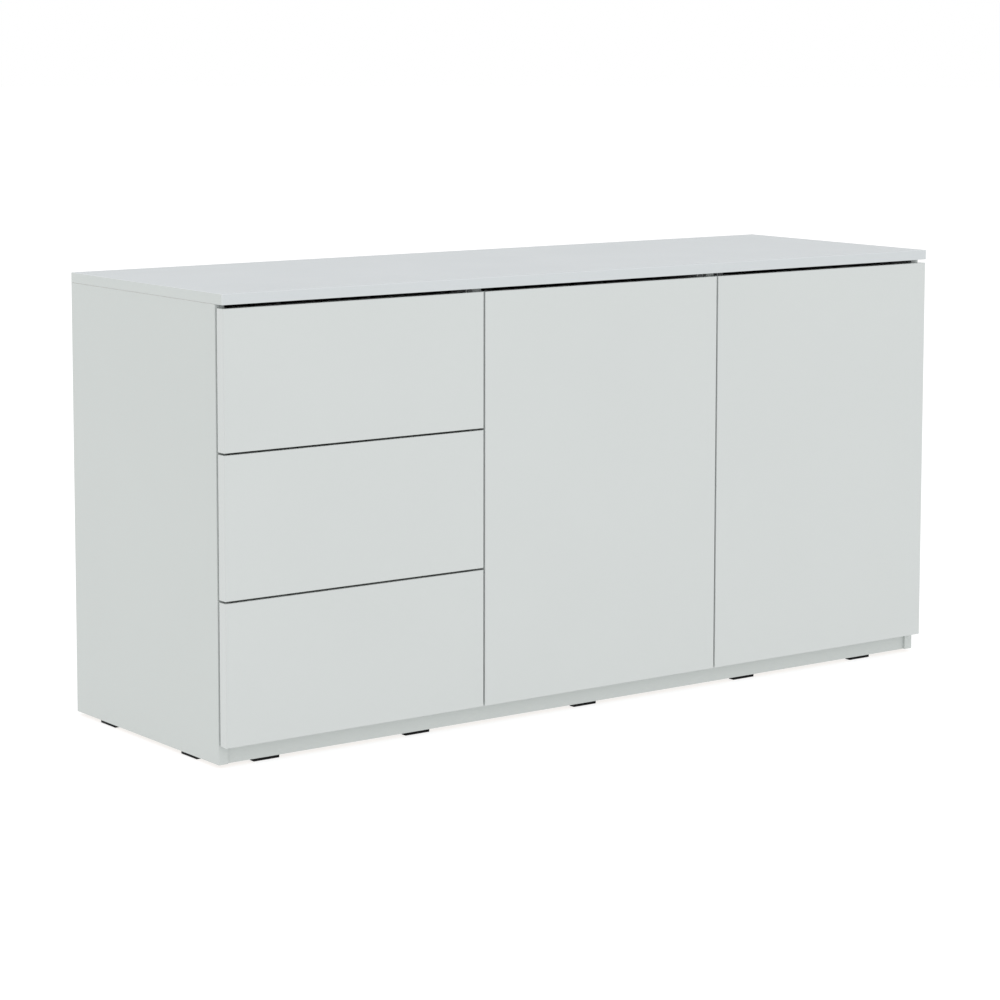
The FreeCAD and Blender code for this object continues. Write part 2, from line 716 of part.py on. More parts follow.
# floor glides
glides = []
for place, along_x in glide_places():
    pad, pin = glide(place, along_x)
    glides.append(pad)
    nails.append(pin)
    for name in ("side_left", "side_right", "plinth_front", "plinth_rear"):
        if boards[name].BoundBox.isInside(place + V(0, 0, base + 1)):
            boards[name] = boards[name].cut(pin)
nodes["floor_glides"] = group(glides)
nodes["nails"] = group(nails)

# drawers, their slides and their latches
front_x = (-right + FRONT_INSET, -right + FRONT_INSET + front_width)
heights = [fronts_bottom]
for count in range(2):
    heights.append(heights[-1] + LOWER_FRONT + FRONT_GAP)
tops = [heights[1] - FRONT_GAP, heights[2] - FRONT_GAP, fronts_top]
outer_members = []
screws = []
housings = []
latch_x = bay_left[1] - LATCH_WIDTH / 2
for name, low, high in zip(("bottom", "middle", "top"), heights, tops):
    drawer = "drawer_" + name
    nodes[drawer + "_front"] = front_board(front_x, (low, high))
    for piece, shape in drawer_box(low).items():
        nodes[drawer + "_" + piece] = shape
    middles = []
    inners = []
    for wall, way, board in ((bay_left[0], 1, "side_left"), (bay_left[1], -1, "partition_left")):
        outer_member, middle_member, inner_member = slide(wall, way, low + SLIDE_RISE)
        fixings = slide_screws(wall, way, low + SLIDE_RISE)
        outer_members.append(outer_member.cut(group(fixings)))
        boards[board] = boards[board].cut(group(fixings))
        screws += fixings
        middles.append(middle_member)
        inners.append(inner_member)
    nodes[drawer + "_slide_middles"] = group(middles)
    nodes[drawer + "_slide_inners"] = group(inners)
    latch_z = low + BOX_RISE + BOX_HEIGHT + DRAWER_LATCH_OVER_BOX
    if name == "top":
        latch_z = under_top - LATCH_HEIGHT / 2
    housing, plunger = latch(latch_x, latch_z)
    housings.append(housing)
    nodes[drawer + "_plunger"] = plunger
nodes["slide_outer_members"] = group(outer_members)

# doors, their hinges and their latches
door_z = (fronts_bottom, fronts_top)
door_left_edge = -line + FRONT_GAP / 2
door_right_edge = right - FRONT_INSET
doors = (
    ("door_left", door_left_edge, 1, bay_middle[0], "partition_left", line - DOOR_LATCH_OFFSET),
    ("door_right", door_right_edge, -1, bay_right[1], "side_right", line + DOOR_LATCH_OFFSET),
)
plates = []
arms = []
for door, door_edge, way, upright, board, door_latch_x in doors:
    panel = front_board(sorted((door_edge, door_edge + way * front_width)), door_z)
    hinge_start = door_edge + way * hinge_shift
    face = way * (upright - hinge_start)
    cups = []
    cup_fixings = []
    links = []
    for height in (door_z[0] + HINGE_EDGE, door_z[1] - HINGE_EDGE):
        cups.append(placed(hinge_cup(), hinge_start, way, height))
        links.append(placed(hinge_link(), hinge_start, way, height))
        arms.append(placed(hinge_arm(face), hinge_start, way, height))
        plates.append(placed(hinge_plate(face), hinge_start, way, height))
        fixings = [placed(screw, hinge_start, way, height) for screw in plate_screws(face)]
        boards[board] = boards[board].cut(group(fixings))
        screws += fixings
        screws += [placed(screw, hinge_start, way, height) for screw in arm_screws(face)]
        door_screws = [placed(screw, hinge_start, way, height) for screw in cup_screws()]
        panel = panel.cut(group(door_screws))
        cup_fixings += door_screws
        centre = V(hinge_start + way * (CUP_EDGE + CUP_RADIUS), front_back, height)
        panel = panel.cut(rod(CUP_RADIUS, CUP_DEPTH, centre, V(0, -1, 0)))
    nodes[door + "_panel"] = panel
    nodes[door + "_hinge_cups"] = group(cups)
    nodes[door + "_cup_screws"] = group(cup_fixings)
    nodes[door + "_hinge_links"] = group(links)
    housing, plunger = latch(door_latch_x, under_top - LATCH_HEIGHT / 2)
    housings.append(housing)
    nodes[door + "_plunger"] = plunger
nodes["hinge_plates"] = group(plates)
nodes["hinge_arms"] = group(arms)
nodes["screws"] = group(screws)
nodes["latch_housings"] = group(housings)
nodes.update(boards)

for node, shape in nodes.items():
    save(shape, node)
print(len(nodes), "pieces written")
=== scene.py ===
import json
import math

import bmesh
import bpy
from mathutils import Matrix, Vector


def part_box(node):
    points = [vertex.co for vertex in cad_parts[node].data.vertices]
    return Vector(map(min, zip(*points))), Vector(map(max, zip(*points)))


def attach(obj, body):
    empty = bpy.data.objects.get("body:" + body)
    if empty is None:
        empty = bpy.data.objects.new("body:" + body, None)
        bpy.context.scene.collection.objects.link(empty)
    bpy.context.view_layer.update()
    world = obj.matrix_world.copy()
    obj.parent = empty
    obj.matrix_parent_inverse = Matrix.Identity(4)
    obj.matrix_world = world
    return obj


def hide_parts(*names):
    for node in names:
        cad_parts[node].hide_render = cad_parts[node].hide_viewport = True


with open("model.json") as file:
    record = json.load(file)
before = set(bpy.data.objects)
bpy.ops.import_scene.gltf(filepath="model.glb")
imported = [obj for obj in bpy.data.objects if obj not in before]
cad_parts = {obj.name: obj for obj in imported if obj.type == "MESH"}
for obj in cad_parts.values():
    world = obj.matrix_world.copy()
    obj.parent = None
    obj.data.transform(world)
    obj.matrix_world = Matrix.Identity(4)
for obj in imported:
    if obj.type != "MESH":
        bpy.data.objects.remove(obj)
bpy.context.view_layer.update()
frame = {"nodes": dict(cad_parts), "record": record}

# Looks for a handleless sideboard: gloss fronts, satin melamine carcass, sawn chipboard edges
# at the rear, plated fittings inside.  Metres, Z up, in the part's own frame.

NODES = frame["nodes"]
BODIES = frame["record"]["behaviour"]["bodies"]

# ---- camera and studio
CAMERA_PLACE = (-2.9353, -3.9295, 1.1024)
CAMERA_HEADING = 36.40
CAMERA_TILT = -6.388
CAMERA_ROLL = 0.078
CAMERA_LENS = 108.59
CAMERA_SHIFT = -0.15
CAMERA_SENSOR = 36.0
CAMERA_SIGHT = 200.0
FLOOR_RADIUS = 40.0
FLOOR_SIDES = 96
FLOOR_GLOW = 0.76
LAMP_PLACE = (-0.6, -1.9, 2.8)
LAMP_AIM = (0.0, 0.0, 0.5)
LAMP_SIZE = 2.0
LAMP_POWER = 8.0
LAMP_COLOUR = (0.93, 0.97, 1.0)
SURROUNDING_LIGHT = 1.0

# ---- colours, as linear red, green and blue
GLOSS_WHITE = (0.580, 0.607, 0.598)
INNER_WHITE = (0.575, 0.600, 0.592)
MELAMINE_WHITE = (0.555, 0.586, 0.572)
# painted light: the top is the same melamine as the carcass, tinted bluer for the cool light that falls
# on it from above
TOP_PAINTED_COOL_WHITE = (0.545, 0.575, 0.590)
# painted light: the top band's front and back faces are drawn in this paler, bluer tone than its ends,
# for the light that falls on them
BAND_PAINTED_LIT_WHITE = (0.585, 0.615, 0.625)
CHIP_PALE = (0.50, 0.37, 0.23)
CHIP_MIDDLE = (0.36, 0.25, 0.14)
CHIP_DARK = (0.20, 0.125, 0.065)
HARDBOARD_WHITE = (0.575, 0.59, 0.575)
FOIL_WHITE = (0.60, 0.615, 0.605)
ZINC = (0.66, 0.675, 0.69)
NICKEL = (0.72, 0.715, 0.69)
ALLOY = (0.42, 0.425, 0.43)
BEECH_PALE = (0.60, 0.42, 0.25)
BEECH_DARK = (0.46, 0.29, 0.15)
BLACK_PLASTIC = (0.006, 0.006, 0.0065)
GREY_PLASTIC = (0.16, 0.165, 0.17)
LIGHT_PLASTIC = (0.50, 0.51, 0.51)
FLOOR_WHITE = (0.345, 0.345, 0.345)
FLOOR_LIGHT = (1.0, 1.0, 1.0)

# ---- board details
BAND_THICKNESS = 0.0010
SEAM_HALF = 0.00010
SEAM_SHADE = 0.88
# painted highlight: how much brighter the band's rounded arris is drawn than the band, for light caught
# on the curve
ARRIS_PAINTED_HIGHLIGHT = 1.13

# ---- chipboard flakes
FLAKE_SCALE = 420.0
FLAKE_STRETCH = (1.0, 1.0, 1.7)

# ---- how squarely a surface has to face along an axis to count as that side of a board
INNER_SIDE = 0.7
BOARD_FACE = 0.15
BANDED_EDGE = 0.5
END_BAND = 0.7
# a band surface that faces no axis more squarely than this is its rounded arris, which gets the painted
# highlight
FLAT_BAND = 0.96


class Wire:
    """A shader socket that takes part in sums: each operator adds one Math node."""

    def __init__(self, finish, socket):
        self.finish = finish
        self.socket = socket

    def math(self, operation, *values):
        inputs = dict(enumerate(values))
        return self.finish.node("ShaderNodeMath", {"operation": operation}, inputs)

    def __add__(self, other):
        return self.math("ADD", self, other)

    def __radd__(self, other):
        return self.math("ADD", other, self)

    def __sub__(self, other):
        return self.math("SUBTRACT", self, other)

    def __rsub__(self, other):
        return self.math("SUBTRACT", other, self)

    def __mul__(self, other):
        return self.math("MULTIPLY", self, other)

    def __rmul__(self, other):
        return self.math("MULTIPLY", other, self)

    def __gt__(self, other):
        return self.math("GREATER_THAN", self, other)

    def __lt__(self, other):
        return self.math("LESS_THAN", self, other)

    def size(self):
        return self.math("ABSOLUTE", self)

    def larger(self, other):
        return self.math("MAXIMUM", self, other)

    def smaller(self, other):
        return self.math("MINIMUM", self, other)


class Finish:
    """One material: its node tree and the Principled shader that its patterns feed.

    drift moves every pattern, so that two boards of one finish aren't alike.
    """

    def __init__(self, name, colour, roughness, metallic=0.0, drift=0.0):
        self.material = bpy.data.materials.new(name)
        self.material.use_nodes = True
        self.material.diffuse_color = (*colour, 1.0)
        self.tree = self.material.node_tree
        self.shader = self.tree.nodes["Principled BSDF"]
        self.drift = drift
        self.set("Base Color", colour)
        self.set("Roughness", roughness)
        self.set("Metallic", metallic)

    def set(self, name, value):
        """Give the shader's socket a number, a colour or a wire."""
        self.feed(self.shader.inputs[name], value)

    def feed(self, socket, value):
        if isinstance(value, Wire):
            self.tree.links.new(value.socket, socket)
        elif isinstance(value, tuple) and socket.type == "RGBA":
            socket.default_value = (*value, 1.0)
        else:
            socket.default_value = value

    def node(self, kind, settings=(), inputs=(), out=0):
        """Add a node of this kind, set it up, feed its inputs and return one output."""
        made = self.tree.nodes.new(kind)
        for name, value in dict(settings).items():
            if name == "stops":
                self.set_stops(made.color_ramp, value)
            else:
                setattr(made, name, value)
        for name, value in dict(inputs).items():
            self.feed(made.inputs[name], value)
        return Wire(self, made.outputs[out])

    def set_stops(self, ramp, stops):
        while len(ramp.elements) < len(stops):
            ramp.elements.new(0.5)
        for element, (place, colour) in zip(ramp.elements, stops):
            element.position = place
            element.color = (*colour, 1.0)

    def axes(self, vector):
        """The three numbers of a vector as wires."""
        split = self.node("ShaderNodeSeparateXYZ", inputs={0: vector})
        return [Wire(self, split.socket.node.outputs[axis]) for axis in range(3)]

    def place(self, stretch=None):
        """Position in the part's frame, stretched along each axis."""
        point = self.node("ShaderNodeTexCoord", out="Object")
        if stretch is None:
            return point
        return self.node("ShaderNodeVectorMath", {"operation": "MULTIPLY"}, {0: point, 1: stretch})

    def facing(self):
        """Which way the surface faces, along the piece's own axes."""
        return self.axes(self.node("ShaderNodeTexCoord", out="Normal"))

    def noise(self, scale, detail=2.0, stretch=None, layer=0):
        inputs = {"Vector": self.place(stretch), "W": self.drift + 7.3 * layer, "Scale": scale,
                  "Detail": detail}
        return self.node("ShaderNodeTexNoise", {"noise_dimensions": "4D"}, inputs)

    def cells(self, scale, stretch, out="Distance"):
        inputs = {"Vector": self.place(stretch), "Scale": scale}
        return self.node("ShaderNodeTexVoronoi", (), inputs, out)

    def ramp(self, value, *stops):
        return self.node("ShaderNodeValToRGB", {"stops": stops}, {0: value})

    def mix(self, factor, first, second):
        """first where factor is 0 and second where it is 1, for colours."""
        return self.node("ShaderNodeMix", {"data_type": "RGBA"}, {0: factor, 6: first, 7: second}, 2)

    def tone(self, factor, colour, low, high):
        """colour, from low times as bright where factor is 0 to high times where it is 1."""
        return self.mix(factor, shade(colour, low), shade(colour, high))

    def bump(self, height, depth):
        """Raise the surface by height, a wire from 0 to 1, times depth in metres."""
        self.set("Normal", self.node("ShaderNodeBump", (), {"Height": height, "Distance": depth}))


def shade(colour, factor):
    return tuple(part * factor for part in colour)


def drift_of(node):
    """A different number for each node, the same on every run."""
    return 3.7 * sorted(NODES).index(node)


# ---------------------------------------------------------------- finishes of the boards

def seam(finish, node, sides):
    """1 along the joint between face and edge band, for each (axis, sign) side with a band."""
    low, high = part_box(node)
    place = finish.axes(finish.place())
    inset = None
    for axis, sign in sides:
        run = place[axis] - low[axis] if sign < 0 else high[axis] - place[axis]
        inset = run if inset is None else inset.smaller(run)
    return (inset - BAND_THICKNESS).size() < SEAM_HALF


def gloss_front(node):
    """Front board: mirror-gloss face and edges with faint orange peel, satin inner face."""
    finish = Finish("gloss_" + node, GLOSS_WHITE, 0.07, drift=drift_of(node))
    finish.set("Coat Roughness", 0.03)
    inner = finish.facing()[1] > INNER_SIDE
    joint = seam(finish, node, ((0, -1), (0, 1), (2, -1), (2, 1)))
    mottle = finish.noise(6.0, 3.0)
    outside = finish.tone(mottle, GLOSS_WHITE, 0.985, 1.015)
    inside = finish.tone(mottle, INNER_WHITE, 0.98, 1.02)
    board = finish.mix(inner, outside, inside)
    finish.set("Base Color", finish.mix(joint, board, shade(GLOSS_WHITE, SEAM_SHADE)))
    haze = finish.noise(14.0, 4.0, layer=1)
    finish.set("Roughness", 0.05 + 0.05 * haze + inner * 0.33)
    finish.set("Coat Weight", 0.35 - 0.35 * inner)
    peel = finish.noise(95.0, 2.0, layer=2)
    pearl = finish.noise(1100.0, 2.0, layer=3)
    finish.bump((1 - inner) * peel + inner * pearl, 0.00002)
    return finish.material


def chipboard(finish):
    """Colour and height of sawn chipboard: flakes of mixed tone with dark gaps between."""
    flakes = finish.axes(finish.cells(FLAKE_SCALE, FLAKE_STRETCH, out="Color"))[0]
    fine = finish.noise(1600.0, 3.0, layer=4)
    share = 0.62 * flakes + 0.38 * fine
    colour = finish.ramp(share, (0.18, CHIP_DARK), (0.42, CHIP_MIDDLE), (0.8, CHIP_PALE))
    return colour, finish.cells(FLAKE_SCALE, FLAKE_STRETCH)


def melamine_board(node, flat_axis, banded, white=MELAMINE_WHITE, gloss=0.5):
    """Melamine-faced chipboard: pearl-textured faces, banded edges, sawn edges elsewhere.

    flat_axis is the axis across the board's thickness, and banded holds the (axis, sign) of
    each edge with a band on it.
    """
    finish = Finish("melamine_" + node, white, 0.38, drift=drift_of(node))
    finish.set("Specular IOR Level", gloss)
    facing = finish.facing()
    covered = facing[flat_axis].size() > BOARD_FACE
    for axis, sign in banded:
        covered = covered.larger(sign * facing[axis] > BANDED_EDGE)
    face = finish.tone(finish.noise(5.0, 3.0), white, 0.985, 1.015)
    if banded:
        face = finish.mix(seam(finish, node, banded), face, shade(white, SEAM_SHADE))
    sawn, flakes = chipboard(finish)
    finish.set("Base Color", finish.mix(covered, sawn, face))
    haze = finish.noise(9.0, 4.0, layer=1)
    finish.set("Roughness", 0.85 - covered * (0.50 - 0.08 * haze))
    pearl = finish.noise(1100.0, 2.0, layer=2)
    finish.bump(covered * pearl + (1 - covered) * 4 * flakes, 0.00003)
    return finish.material


def edge_band(node):
    """Thin plastic band round the top, with a painted highlight along its rounded arris, and its front
    and back faces painted paler and bluer than its ends.
    """
    finish = Finish("band_" + node, BAND_PAINTED_LIT_WHITE, 0.4)
    finish.set("Specular IOR Level", 0.3)
    facing = [part.size() for part in finish.facing()]
    flat = facing[0].larger(facing[1]).larger(facing[2]) > FLAT_BAND
    mottle = finish.noise(7.0, 3.0)
    # painted light: the band's ends across X take the melamine tone, and its front and back faces take
    # the paler, bluer lit tone
    side = finish.tone(mottle, MELAMINE_WHITE, 1.0, 1.04)
    end = finish.mix(facing[0] > END_BAND, finish.tone(mottle, BAND_PAINTED_LIT_WHITE, 0.985, 1.015), side)
    # the rounded arris gets the painted highlight, and the flat faces get their tones
    finish.set("Base Color", finish.mix(flat, shade(BAND_PAINTED_LIT_WHITE, ARRIS_PAINTED_HIGHLIGHT), end))
    pearl = finish.noise(1300.0, 2.0, layer=1)
    finish.set("Roughness", 0.36 + 0.08 * pearl)
    finish.bump(pearl, 0.00002)
    return finish.material


def foil_board(node, colour, roughness, grain):
    """Lacquered or foil-wrapped board with a fine fibre texture drawn out along one axis."""
    finish = Finish("foil_" + node, colour, roughness, drift=drift_of(node))
    fibres = finish.noise(260.0, 4.0, grain)
    blend = 0.5 * finish.noise(8.0, 3.0, layer=1) + 0.5 * fibres
    finish.set("Base Color", finish.tone(blend, colour, 0.95, 1.04))
    finish.set("Roughness", roughness - 0.05 + 0.1 * fibres)
    finish.bump(fibres, 0.00004)
    return finish.material


# ---------------------------------------------------------------- finishes of the fittings

def plated_steel(name, colour, roughness, drawn=None):
    """Plated sheet steel with rolling marks along one axis."""
    finish = Finish(name, colour, roughness, 1.0)
    marks = finish.noise(900.0, 3.0, drawn)
    cloud = finish.noise(24.0, 2.0, layer=1)
    finish.set("Base Color", finish.tone(cloud, colour, 0.95, 1.03))
    finish.set("Roughness", roughness - 0.05 + 0.07 * marks + 0.05 * cloud)
    finish.bump(marks, 0.000008)
    return finish.material


def cast_alloy(name):
    finish = Finish(name, ALLOY, 0.5, 0.9)
    grain = finish.noise(1300.0, 3.0)
    finish.set("Base Color", finish.tone(grain, ALLOY, 0.8, 1.15))
    finish.set("Roughness", 0.42 + 0.16 * grain)
    finish.bump(grain, 0.00004)
    return finish.material


def beech(name):
    finish = Finish(name, BEECH_PALE, 0.6)
    grain = finish.noise(600.0, 4.0, (1.0, 1.0, 0.12))
    finish.set("Base Color", finish.mix(grain, BEECH_DARK, BEECH_PALE))
    finish.bump(grain, 0.0001)
    return finish.material


def moulded_plastic(name, colour, roughness, gloss=0.5):
    """Injection-moulded plastic with an even spark-eroded texture."""
    finish = Finish(name, colour, roughness)
    finish.set("Specular IOR Level", gloss)
    grain = finish.noise(1200.0, 3.0)
    cloud = finish.noise(60.0, 2.0, layer=1)
    finish.set("Base Color", finish.tone(cloud, colour, 0.9, 1.1))
    finish.set("Roughness", roughness - 0.06 + 0.12 * grain)
    finish.bump(grain, 0.00003)
    return finish.material


# ---------------------------------------------------------------- which piece has which finish

FRONT_BAND = ((1, -1),)
MELAMINE_NODES = {
    # the top's colour is painted light: a cooler-tinted copy of the carcass melamine
    "top_panel": (2, (), TOP_PAINTED_COOL_WHITE, 0.22),
    "bottom_panel": (2, FRONT_BAND),
    "shelf_middle": (2, FRONT_BAND),
    "shelf_right": (2, FRONT_BAND),
    "side_left": (0, FRONT_BAND),
    "side_right": (0, FRONT_BAND),
    "partition_left": (0, FRONT_BAND),
    "partition_right": (0, FRONT_BAND),
    "plinth_front": (1, ()),
    "plinth_rear": (1, ()),
}
FITTINGS = {
    "slide": plated_steel("zinc_plated_slide", ZINC, 0.30, (1.0, 0.04, 1.0)),
    "fixing": plated_steel("zinc_plated_fixing", ZINC, 0.30),
    "hinge": plated_steel("nickel_plated_hinge", NICKEL, 0.25, (1.0, 0.1, 1.0)),
    "cam": cast_alloy("die_cast_cam"),
    "dowel": beech("beech_dowel"),
    "glide": moulded_plastic("black_glide_plastic", BLACK_PLASTIC, 0.6, 0.08),
    "plunger": moulded_plastic("grey_plunger_plastic", GREY_PLASTIC, 0.4),
    "latch": moulded_plastic("light_latch_plastic", LIGHT_PLASTIC, 0.42),
}
FITTING_NODES = {
    "cam_locks": "cam", "cam_bolts": "fixing", "dowels": "dowel", "floor_glides": "glide",
    "latch_housings": "latch", "screws": "fixing", "nails": "fixing", "shelf_pins": "fixing",
}
FIBRES_UP = (1.0, 1.0, 0.25)
FIBRES_INWARD = (1.0, 0.1, 1.0)


def finish_of(node):
    """The material for a node, by what the piece is."""
    if node in MELAMINE_NODES:
        return melamine_board(node, *MELAMINE_NODES[node])
    if node in FITTING_NODES:
        return FITTINGS[FITTING_NODES[node]]
    if node == "top_edge_bands":
        return edge_band(node)
    if node.startswith("back_"):
        return foil_board(node, HARDBOARD_WHITE, 0.5, FIBRES_UP)
    if node.endswith("cup_screws"):
        return FITTINGS["fixing"]
    if "slide" in node:
        return FITTINGS["slide"]
    if "hinge" in node:
        return FITTINGS["hinge"]
    if node.endswith("_plunger"):
        return FITTINGS["plunger"]
    if node.endswith(("_front", "_panel")):
        return gloss_front(node)
    if node.endswith("_bottom"):
        return foil_board(node, HARDBOARD_WHITE, 0.45, FIBRES_INWARD)
    return foil_board(node, FOIL_WHITE, 0.40, FIBRES_INWARD)


def dress(node, piece):
    piece.data.materials.clear()
    piece.data.materials.append(finish_of(node))
    for face in piece.data.polygons:
        face.material_index = 0


for node, piece in NODES.items():
    dress(node, piece)


# ---------------------------------------------------------------- screws and shelf pins

WELD = 1e-6
HEAD_SHARE = 0.95
STEM_SHARE = 0.9
SCREW_SIDES = 32
RIM_STEPS = 4
FLAT_SHARE = 0.80
RIM_DEPTH = 0.6
CROSS_REACH = 0.56
CROSS_HALF = 0.10
CROSS_TAPER = 0.5
CROSS_DEPTH = 0.8
THREAD_PITCH = 0.0012
THREAD_CORE = 0.72
POINT_RADIUS = 0.1
POINT_LENGTH = 0.003
PIN_COLLAR = 0.0033
PIN_COLLAR_THICKNESS = 0.0008
PIN_CHAMFER = 0.0005
SHARP_ANGLE = math.radians(35)


def loose_solids(node):
    """The corners of each separate solid in a node."""
    mesh = bmesh.new()
    mesh.from_mesh(NODES[node].data)
    bmesh.ops.remove_doubles(mesh, verts=mesh.verts, dist=WELD)
    waiting = set(mesh.verts)
    solids = []
    while waiting:
        solid = set()
        reached = [waiting.pop()]
        while reached:
            corner = reached.pop()
            solid.add(corner)
            for side in corner.link_edges:
                other = side.other_vert(corner)
                if other in waiting:
                    waiting.remove(other)
                    reached.append(other)
        solids.append([corner.co.copy() for corner in solid])
    mesh.free()
    return sorted(solids, key=lambda corners: min(tuple(corner) for corner in corners))


def headed_rod(corners):
    """Head end, direction and sizes of a round pin with a wider head, from its corners.

    Corners beyond HEAD_SHARE of the widest radius are the head's, and those within
    STEM_SHARE of it are the stem's.
    """
    low = Vector([min(corner[axis] for corner in corners) for axis in range(3)])
    high = Vector([max(corner[axis] for corner in corners) for axis in range(3)])
    axis = max(range(3), key=lambda way: high[way] - low[way])
    centre = (low + high) / 2

    def radius(corner):
        return math.hypot(*[corner[way] - centre[way] for way in range(3) if way != axis])

    head_radius = max(radius(corner) for corner in corners)
    head = [corner[axis] for corner in corners if radius(corner) > HEAD_SHARE * head_radius]
    stem_radius = max(radius(corner) for corner in corners if radius(corner) < STEM_SHARE * head_radius)
    at_low = min(head) - low[axis] < high[axis] - max(head)
    start = centre.copy()
    start[axis] = low[axis] if at_low else high[axis]
    way = Vector([0.0, 0.0, 0.0])
    way[axis] = 1.0 if at_low else -1.0
    return start, way, head_radius, max(head) - min(head), stem_radius, high[axis] - low[axis]


def ring(mesh, radius, depth):
    """A ring of corners round the Z axis, at this depth along it."""
    turns = [2 * math.pi * step / SCREW_SIDES for step in range(SCREW_SIDES)]
    return [mesh.verts.new((radius * math.cos(turn), radius * math.sin(turn), depth)) for turn in turns]


def skin(mesh, first, second):
    """Faces between two rings of as many corners."""
    count = len(first)
    for step in range(count):
        after = (step + 1) % count
        mesh.faces.new((first[step], first[after], second[after], second[step]))


def lathe(mesh, profile):
    """Rings through (radius, depth) points; returns the first and the last."""
    rings = [ring(mesh, radius, depth) for radius, depth in profile]
    for first, second in zip(rings, rings[1:]):
        skin(mesh, first, second)
    return rings[0], rings[-1]


def loop_edges(mesh, corners):
    return [mesh.edges.get((a, b)) or mesh.edges.new((a, b))
            for a, b in zip(corners, corners[1:] + corners[:1])]


def cross_outline(mesh, reach, half, depth):
    """Twelve corners of a screwdriver cross."""
    corners = []
    for quarter in range(4):
        turn = Matrix.Rotation(quarter * math.pi / 2, 2)
        for x, y in ((reach, -half), (reach, half), (half, half)):
            x, y = turn @ Vector((x, y))
            corners.append(mesh.verts.new((x, y, depth)))
    return corners


def cross_screw(mesh, head_radius, head_depth, stem_radius, length):
    """A pan-head screw with a cross recess, a rounded rim, a thread and a point."""
    flat = FLAT_SHARE * head_radius
    profile = []
    for step in range(RIM_STEPS + 1):
        turn = step / RIM_STEPS * math.pi / 2
        profile.append((flat + (head_radius - flat) * math.sin(turn),
                        RIM_DEPTH * head_depth * (1 - math.cos(turn))))
    profile += [(head_radius, head_depth), (stem_radius, head_depth)]
    threads = int((length - head_depth - POINT_LENGTH) / THREAD_PITCH)
    for count in range(threads):
        depth = head_depth + count * THREAD_PITCH
        profile.append((THREAD_CORE * stem_radius, depth + THREAD_PITCH / 2))
        profile.append((stem_radius, depth + THREAD_PITCH))
    profile += [(THREAD_CORE * stem_radius, length - POINT_LENGTH), (POINT_RADIUS * stem_radius, length)]
    top, tip = lathe(mesh, profile)
    mesh.faces.new(tip)
    reach = CROSS_REACH * head_radius
    half = CROSS_HALF * head_radius
    upper = cross_outline(mesh, reach, half, 0.0)
    lower = cross_outline(mesh, reach * CROSS_TAPER, half * CROSS_TAPER, CROSS_DEPTH * head_depth)
    skin(mesh, upper, lower)
    mesh.faces.new(lower)
    bmesh.ops.triangle_fill(mesh, edges=loop_edges(mesh, top) + loop_edges(mesh, upper), use_beauty=True)


def shelf_pin(mesh, radius, face_depth, length):
    """A steel pin with a collar that meets the board's face, and chamfered ends."""
    low = PIN_CHAMFER
    collar_end = face_depth + PIN_COLLAR_THICKNESS
    profile = [(radius - low, 0.0), (radius, low), (radius, face_depth), (PIN_COLLAR, face_depth),
               (PIN_COLLAR, collar_end), (radius, collar_end), (radius, length - low),
               (radius - low, length)]
    for end in lathe(mesh, profile):
        mesh.faces.new(end)


def finished(name, mesh, material):
    """The mesh as a piece: outward faces, smooth rounds, sharp corners, one material."""
    bmesh.ops.recalc_face_normals(mesh, faces=mesh.faces)
    for face in mesh.faces:
        face.smooth = True
    piece = bpy.data.objects.new(name, bpy.data.meshes.new(name))
    mesh.to_mesh(piece.data)
    mesh.free()
    piece.data.set_sharp_from_angle(angle=SHARP_ANGLE)
    piece.data.materials.append(material)
    bpy.context.scene.collection.objects.link(piece)
    return piece


def lay(mesh, fresh, start, way):
    """Turn the fresh corners, built up the Z axis from zero, to run from start along way."""
    turn = way.to_track_quat("Z", "X").to_matrix().to_4x4()
    bmesh.ops.transform(mesh, matrix=Matrix.Translation(start) @ turn, verts=fresh)


def body_of(node):
    return next(body for body, members in BODIES.items() if node in members)


def stand_for(node, name, mesh):
    """Show the mesh in place of a node, on the node's body and with its finish."""
    piece = finished(name, mesh, NODES[node].data.materials[0])
    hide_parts(node)
    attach(piece, body_of(node))


def detailed_screws(node):
    mesh = bmesh.new()
    for corners in loose_solids(node):
        start, way, head_radius, head_depth, stem_radius, length = headed_rod(corners)
        before = len(mesh.verts)
        cross_screw(mesh, head_radius, head_depth, stem_radius, length)
        mesh.verts.ensure_lookup_table()
        lay(mesh, mesh.verts[before:], start, way)
    stand_for(node, "cross_head_" + node, mesh)


def detailed_shelf_pins():
    mesh = bmesh.new()
    for corners in loose_solids("shelf_pins"):
        low = Vector([min(corner[axis] for corner in corners) for axis in range(3)])
        high = Vector([max(corner[axis] for corner in corners) for axis in range(3)])
        faces = [face for board in ("partition_left", "partition_right", "side_right")
                 for face in (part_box(board)[0].x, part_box(board)[1].x) if low.x < face < high.x]
        rightwards = high.x - faces[0] > faces[0] - low.x
        start = Vector((low.x if rightwards else high.x, (low.y + high.y) / 2, (low.z + high.z) / 2))
        way = Vector((1 if rightwards else -1, 0, 0))
        before = len(mesh.verts)
        shelf_pin(mesh, (high.z - low.z) / 2, abs(faces[0] - start.x), high.x - low.x)
        mesh.verts.ensure_lookup_table()
        lay(mesh, mesh.verts[before:], start, way)
    stand_for("shelf_pins", "collared_shelf_pins", mesh)


for node in ("screws", "door_left_cup_screws", "door_right_cup_screws"):
    detailed_screws(node)
detailed_shelf_pins()


# ---------------------------------------------------------------- studio

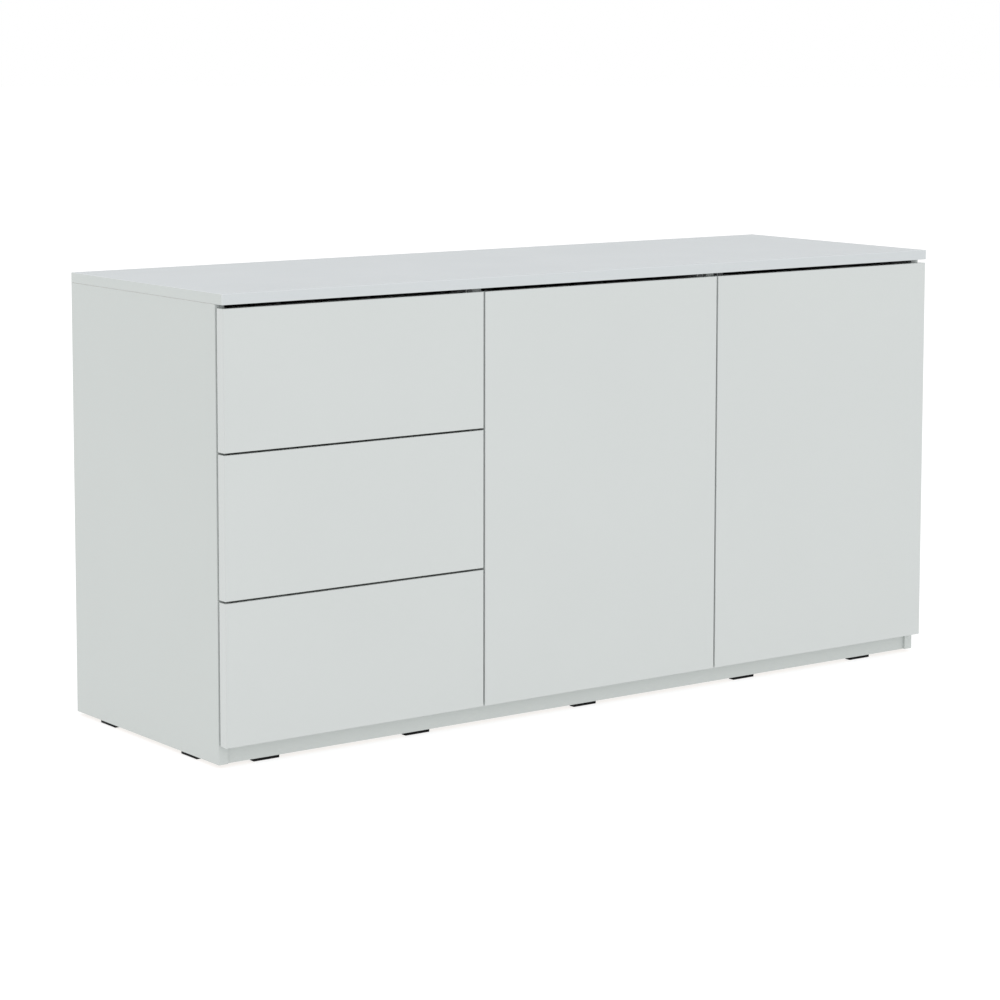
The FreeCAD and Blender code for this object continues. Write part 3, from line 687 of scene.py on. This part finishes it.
def floor():
    """A wide pale floor that glows a little, so that it meets the surroundings with no line."""
    finish = Finish("pale_floor", FLOOR_WHITE, 0.6)
    finish.set("Base Color", finish.tone(finish.noise(0.8, 2.0), FLOOR_WHITE, 0.98, 1.02))
    finish.set("Specular IOR Level", 0.0)
    finish.set("Emission Color", FLOOR_LIGHT)
    finish.set("Emission Strength", FLOOR_GLOW)
    mesh = bmesh.new()
    bmesh.ops.create_circle(mesh, cap_ends=True, segments=FLOOR_SIDES, radius=FLOOR_RADIUS)
    ground = bpy.data.objects.new("studio_floor", bpy.data.meshes.new("studio_floor"))
    mesh.to_mesh(ground.data)
    mesh.free()
    ground.data.materials.append(finish.material)
    bpy.context.scene.collection.objects.link(ground)


def surroundings():
    """Even white surroundings."""
    world = bpy.data.worlds.new("studio_surroundings")
    world.use_nodes = True
    bpy.context.scene.world = world
    backdrop = world.node_tree.nodes["Background"]
    backdrop.inputs["Color"].default_value = (1.0, 1.0, 1.0, 1.0)
    backdrop.inputs["Strength"].default_value = SURROUNDING_LIGHT


def soft_light():
    """One square soft box overhead, turned to the object."""
    lamp = bpy.data.lights.new("overhead_soft_box", "AREA")
    lamp.shape = "SQUARE"
    lamp.size = LAMP_SIZE
    lamp.energy = LAMP_POWER
    lamp.color = LAMP_COLOUR
    box = bpy.data.objects.new("overhead_soft_box", lamp)
    box.location = LAMP_PLACE
    box.rotation_euler = (Vector(LAMP_AIM) - Vector(LAMP_PLACE)).to_track_quat("-Z", "Y").to_euler()
    bpy.context.scene.collection.objects.link(box)


def camera():
    lens = bpy.data.cameras.new("view_camera")
    lens.lens = CAMERA_LENS
    lens.sensor_width = CAMERA_SENSOR
    lens.shift_y = CAMERA_SHIFT
    lens.clip_end = CAMERA_SIGHT
    eye = bpy.data.objects.new("view_camera", lens)
    turn = Matrix.Rotation(math.radians(-CAMERA_HEADING), 4, "Z")
    tip = Matrix.Rotation(math.radians(90 + CAMERA_TILT), 4, "X")
    roll = Matrix.Rotation(math.radians(CAMERA_ROLL), 4, "Z")
    eye.matrix_world = Matrix.Translation(CAMERA_PLACE) @ turn @ tip @ roll
    bpy.context.scene.collection.objects.link(eye)
    bpy.context.scene.camera = eye


floor()
surroundings()
soft_light()
camera()
bpy.context.scene.view_settings.view_transform = "Standard"
